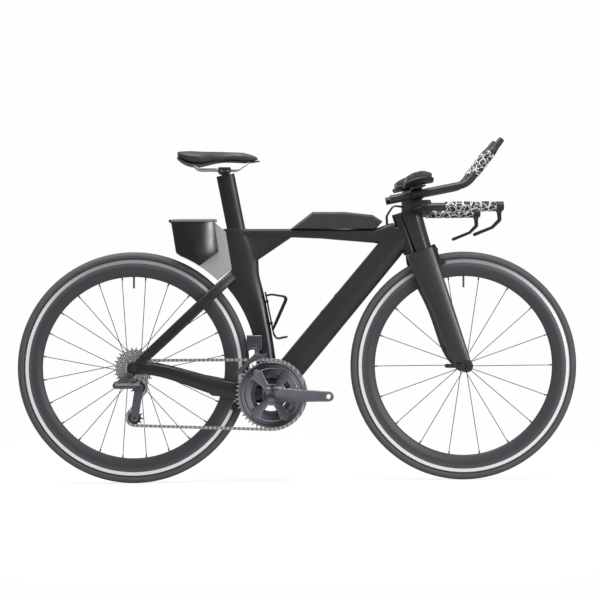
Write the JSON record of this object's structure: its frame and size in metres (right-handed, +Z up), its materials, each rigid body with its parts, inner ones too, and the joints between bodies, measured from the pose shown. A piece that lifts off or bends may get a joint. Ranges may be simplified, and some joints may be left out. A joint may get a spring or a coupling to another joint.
{
  "type": "time trial bike",
  "caption": "Time trial bicycle with deep rims, aero frame, base bar with extensions and arm pads, rear and top-tube storage boxes, chain drive and no pedals.",
  "frame": {"origin": "on the ground midway between the axles, in the plane of the wheels", "axes": "+X forward, +Y to the rider's left, +Z up"},
  "size_m": [1.637, 0.41, 1.0028],
  "materials": {
    "carbon": "matte charcoal paint over carbon",
    "gloss_black": "gloss black",
    "box_fabric": "matte charcoal",
    "tyre_rubber": "dull dark grey",
    "rim_carbon": "matte carbon with a brushed brake track",
    "dark_steel": "black",
    "black_metal": "satin black",
    "grey_metal": "gloss gunmetal grey",
    "plain_steel": "nickel plated",
    "black_plastic": "satin black",
    "tape": "black with pale criss-cross marks",
    "pad_foam": "dark grey foam",
    "saddle_skin": "matte dark grey",
    "cable_cover": "satin black"
  },
  "bodies": {
    "frame": {"main_frame": "carbon", "chain_stays": "carbon", "seat_stays": "carbon", "frame_bearings": "black_metal", "derailleur_hanger": "black_metal", "rear_skewer": "black_metal", "tail_box_shell": "gloss_black", "tail_box_bracket": "carbon", "top_tube_box": "box_fabric", "bottle_cage": "gloss_black", "cage_bolts": "black_metal", "front_derailleur": "grey_metal", "rd_bracket": "grey_metal", "chain": "plain_steel", "cables": "cable_cover"},
    "steering": {"fork": "carbon", "nose_cone": "carbon", "stem_riser": "carbon", "base_bar": "carbon", "bar_tape": "tape", "control_bodies": "black_plastic", "extension_bars": "carbon", "pad_cups": "black_plastic", "arm_pads": "pad_foam", "front_skewer": "black_metal"},
    "front_wheel": {"front_tyre": "tyre_rubber", "front_rim": "rim_carbon", "front_hub": "black_metal", "front_spokes": "dark_steel"},
    "rear_wheel": {"rear_tyre": "tyre_rubber", "rear_rim": "rim_carbon", "rear_hub": "black_metal", "rear_spokes": "dark_steel"},
    "cassette": {"cassette": "plain_steel"},
    "crank": {"chainring_outer": "grey_metal", "chainring_inner": "grey_metal", "crank_right": "grey_metal", "crank_left": "grey_metal"},
    "rd_link": {"rd_link": "grey_metal"},
    "rd_knuckle": {"rd_knuckle": "grey_metal"},
    "rd_cage": {"rd_cage": "dark_steel"},
    "guide_pulley": {"guide_pulley": "black_plastic"},
    "tension_pulley": {"tension_pulley": "black_plastic"},
    "fd_cage": {"front_derailleur_cage": "black_metal"},
    "brake_lever_left": {"brake_lever_left": "black_metal"},
    "brake_lever_right": {"brake_lever_right": "black_metal"},
    "shift_button_left": {"shift_button_left": "black_plastic"},
    "shift_button_right": {"shift_button_right": "black_plastic"},
    "front_brake_left": {"front_brake_left": "black_metal"},
    "front_brake_right": {"front_brake_right": "black_metal"},
    "rear_brake_left": {"rear_brake_left": "black_metal"},
    "rear_brake_right": {"rear_brake_right": "black_metal"},
    "seatpost": {"seatpost": "carbon", "saddle_clamp": "black_metal"},
    "saddle": {"saddle_cover": "saddle_skin", "saddle_base": "black_plastic", "saddle_rails": "plain_steel"},
    "tail_box_lid": {"tail_box_lid": "gloss_black"},
    "front_skewer_lever": {"front_skewer_lever": "black_metal"},
    "rear_skewer_lever": {"rear_skewer_lever": "black_metal"}
  },
  "joints": [
    {"name": "steering", "type": "hinge", "parent": "frame", "child": "steering", "pos_m": [0.43531, 0, 0.32046], "axis": [-0.3007, 0, 0.9537], "range_deg": [-40, 40], "deforming": ["cables"]},
    {"name": "front_wheel_spin", "type": "hinge", "parent": "steering", "child": "front_wheel", "pos_m": [0.483, 0, 0.3355], "axis": [0, 1, 0], "continuous": true},
    {"name": "rear_wheel_spin", "type": "hinge", "parent": "frame", "child": "rear_wheel", "pos_m": [-0.483, 0, 0.3355], "axis": [0, 1, 0], "continuous": true},
    {"name": "crank_spin", "type": "hinge", "parent": "frame", "child": "crank", "pos_m": [-0.087, 0, 0.2567], "axis": [0, 1, 0], "continuous": true, "deforming": ["chain"]},
    {"name": "cassette_spin", "type": "hinge", "parent": "frame", "child": "cassette", "pos_m": [-0.483, 0, 0.3355], "axis": [0, 1, 0], "continuous": true, "deforming": ["chain"]},
    {"name": "rd_shift", "type": "hinge", "parent": "frame", "child": "rd_link", "pos_m": [-0.532, -0.095, 0.2865], "axis": [0, 0.6769, 0.7361], "range_deg": [0, 50], "deforming": ["chain"]},
    {"name": "rd_knuckle_turn", "type": "hinge", "parent": "rd_link", "child": "rd_knuckle", "pos_m": [-0.47, -0.095, 0.2865], "axis": [0, 0.6769, 0.7361], "range_deg": [-50, 0], "deforming": ["chain"]},
    {"name": "rd_cage_swing", "type": "hinge", "parent": "rd_knuckle", "child": "rd_cage", "pos_m": [-0.468, -0.07, 0.281], "axis": [0, 1, 0], "range_deg": [-25, 30], "deforming": ["chain"]},
    {"name": "guide_pulley_spin", "type": "hinge", "parent": "rd_cage", "child": "guide_pulley", "pos_m": [-0.468, -0.0595, 0.281], "axis": [0, 1, 0], "continuous": true, "deforming": ["chain"]},
    {"name": "tension_pulley_spin", "type": "hinge", "parent": "rd_cage", "child": "tension_pulley", "pos_m": [-0.48149, -0.0595, 0.19404], "axis": [0, 1, 0], "continuous": true, "deforming": ["chain"]},
    {"name": "fd_swing", "type": "hinge", "parent": "frame", "child": "fd_cage", "pos_m": [-0.135, -0.037, 0.3907], "axis": [1, 0, 0], "range_deg": [0, 10], "deforming": ["chain"]},
    {"name": "brake_lever_left_pull", "type": "hinge", "parent": "steering", "child": "brake_lever_left", "pos_m": [0.55418, 0.19, 0.77893], "axis": [0, 1, 0], "range_deg": [0, 25], "stiffness_Nm_per_rad": 0.4, "springref_deg": -2.86},
    {"name": "brake_lever_right_pull", "type": "hinge", "parent": "steering", "child": "brake_lever_right", "pos_m": [0.55418, -0.19, 0.77893], "axis": [0, 1, 0], "range_deg": [0, 25], "stiffness_Nm_per_rad": 0.4, "springref_deg": -2.86},
    {"name": "front_brake_left_close", "type": "hinge", "parent": "steering", "child": "front_brake_left", "pos_m": [0.39462, 0.021, 0.67567], "axis": [-0.9537, 0, -0.3007], "range_deg": [0, 1.4]},
    {"name": "front_brake_right_close", "type": "hinge", "parent": "steering", "child": "front_brake_right", "pos_m": [0.39462, -0.021, 0.67567], "axis": [0.9537, 0, 0.3007], "range_deg": [0, 1.4]},
    {"name": "rear_brake_left_close", "type": "hinge", "parent": "frame", "child": "rear_brake_left", "pos_m": [-0.149, 0.026, 0.2222], "axis": [0, 0, 1], "range_deg": [0, 1.4]},
    {"name": "rear_brake_right_close", "type": "hinge", "parent": "frame", "child": "rear_brake_right", "pos_m": [-0.149, -0.026, 0.2222], "axis": [0, 0, -1], "range_deg": [0, 1.4]},
    {"name": "seatpost_slide", "type": "slide", "parent": "frame", "child": "seatpost", "axis": [-0.1925, 0, 0.9813], "range_m": [-0.05, 0.05]},
    {"name": "saddle_slide", "type": "slide", "parent": "seatpost", "child": "saddle", "axis": [1, 0, 0], "range_m": [-0.01, 0.01]},
    {"name": "tail_box_lid_open", "type": "hinge", "parent": "frame", "child": "tail_box_lid", "pos_m": [-0.3775, 0, 0.7602], "axis": [0, -1, 0], "range_deg": [0, 100]},
    {"name": "shift_button_left_press", "type": "slide", "parent": "steering", "child": "shift_button_left", "axis": [-0.6172, 0, -0.7868], "range_m": [0, 0.0015], "stiffness_N_per_m": 600, "springref_m": -0.0005},
    {"name": "shift_button_right_press", "type": "slide", "parent": "steering", "child": "shift_button_right", "axis": [-0.6172, 0, -0.7868], "range_m": [0, 0.0015], "stiffness_N_per_m": 600, "springref_m": -0.0005},
    {"name": "front_skewer_lever_swing", "type": "hinge", "parent": "steering", "child": "front_skewer_lever", "pos_m": [0.483, -0.0733, 0.3355], "axis": [0, 0, 1], "range_deg": [0, 180]},
    {"name": "rear_skewer_lever_swing", "type": "hinge", "parent": "frame", "child": "rear_skewer_lever", "pos_m": [-0.483, 0.0883, 0.3355], "axis": [0, 0, 1], "range_deg": [0, 180]}
  ],
  "couplings": [
    {"joint": "cassette_spin", "follows": "crank_spin", "ratio": 4.5455},
    {"joint": "guide_pulley_spin", "follows": "crank_spin", "ratio": -4.5455},
    {"joint": "tension_pulley_spin", "follows": "crank_spin", "ratio": 4.5455},
    {"joint": "rd_knuckle_turn", "follows": "rd_shift", "ratio": -1},
    {"joint": "front_brake_left_close", "follows": "brake_lever_left_pull", "ratio": 0.056},
    {"joint": "front_brake_right_close", "follows": "brake_lever_left_pull", "ratio": 0.056},
    {"joint": "rear_brake_left_close", "follows": "brake_lever_right_pull", "ratio": 0.056},
    {"joint": "rear_brake_right_close", "follows": "brake_lever_right_pull", "ratio": 0.056}
  ]
}
